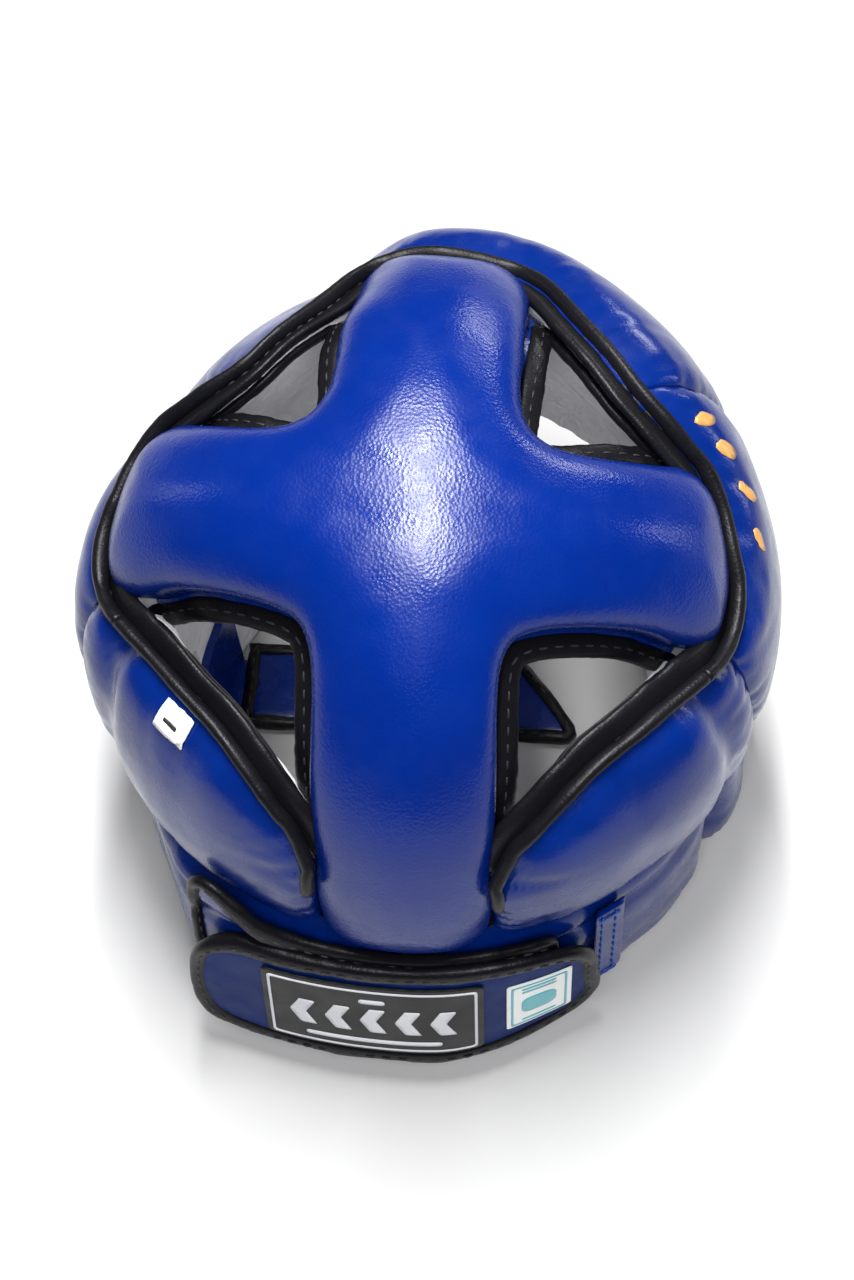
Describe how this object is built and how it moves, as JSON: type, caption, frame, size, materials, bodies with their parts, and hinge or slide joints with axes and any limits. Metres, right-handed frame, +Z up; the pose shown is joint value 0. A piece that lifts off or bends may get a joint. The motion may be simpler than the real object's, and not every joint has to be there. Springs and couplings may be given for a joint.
{
  "type": "boxing headgear",
  "caption": "Padded boxing training headgear with a cross-shaped crown pad, a padded brow and temple roll, cheek pads, neck panels and a hook-and-loop rear strap.",
  "frame": {"origin": "centre of the overall box at the plane that the cheek pads and neck panels stand on", "axes": "+Z up towards the crown, -Y the way the wearer looks, +X the wearer's left"},
  "size_m": [0.24, 0.2575, 0.224],
  "materials": {
    "crown_leather": "satin grained synthetic leather",
    "band_leather": "glossy synthetic leather",
    "binding_leather": "satin black binding with black stitching",
    "suede_lining": "matt light grey brushed lining",
    "foam": "matt closed-cell foam",
    "hook_loop_tape": "matt black hook and loop",
    "badge_rubber": "matt moulded rubber with a white line",
    "woven_tape": "woven white label cloth"
  },
  "bodies": {
    "shell": {"crown_lining": "suede_lining", "crown_base_panel": "band_leather", "crown_pad_foam": "foam", "crown_pad_cover": "crown_leather", "left_front_opening_binding": "binding_leather", "right_front_opening_binding": "binding_leather", "left_rear_opening_binding": "binding_leather", "right_rear_opening_binding": "binding_leather", "forehead_lining": "suede_lining", "forehead_foam": "foam", "forehead_cover": "band_leather", "left_side_lining": "suede_lining", "right_side_lining": "suede_lining", "left_temple_foam": "foam", "right_temple_foam": "foam", "left_temple_cover": "band_leather", "right_temple_cover": "band_leather", "left_rear_lobe_foam": "foam", "right_rear_lobe_foam": "foam", "left_rear_lobe_cover": "band_leather", "right_rear_lobe_cover": "band_leather", "band_top_binding": "binding_leather", "left_rear_edge_binding": "binding_leather", "right_rear_edge_binding": "binding_leather", "brow_binding": "binding_leather", "left_cheek_lining": "suede_lining", "right_cheek_lining": "suede_lining", "left_cheek_foam": "foam", "right_cheek_foam": "foam", "left_cheek_cover": "band_leather", "right_cheek_cover": "band_leather", "left_ear_hole_binding": "binding_leather", "right_ear_hole_binding": "binding_leather", "left_cheek_binding": "binding_leather", "right_cheek_binding": "binding_leather", "left_neck_panel_lining": "suede_lining", "right_neck_panel_lining": "suede_lining", "left_neck_panel_foam": "foam", "right_neck_panel_foam": "foam", "left_neck_panel_cover": "band_leather", "right_neck_panel_cover": "band_leather", "rear_loop_panel": "band_leather", "rear_loop_panel_binding": "binding_leather", "rear_loop_patch": "hook_loop_tape", "rear_strap_root": "band_leather", "size_tab": "woven_tape", "chin_strap_anchor": "band_leather", "chin_loop_patch": "hook_loop_tape"},
    "rear_strap": {"rear_strap": "band_leather", "rear_strap_binding": "binding_leather", "rear_strap_hook_patch": "hook_loop_tape", "rear_badge": "badge_rubber", "woven_label": "woven_tape"},
    "chin_strap": {"chin_strap": "band_leather", "chin_strap_binding": "binding_leather", "chin_strap_hook_patch": "hook_loop_tape"}
  },
  "joints": [
    {"name": "rear_strap_peel", "type": "hinge", "parent": "shell", "child": "rear_strap", "pos_m": [-0.0602, 0.1112, 0.049], "axis": [0, 0, 1], "range_deg": [0, 110]},
    {"name": "chin_strap_swing", "type": "hinge", "parent": "shell", "child": "chin_strap", "pos_m": [0.0732, -0.022, 0.0008], "axis": [0, -1, 0], "range_deg": [-12, 80]}
  ]
}
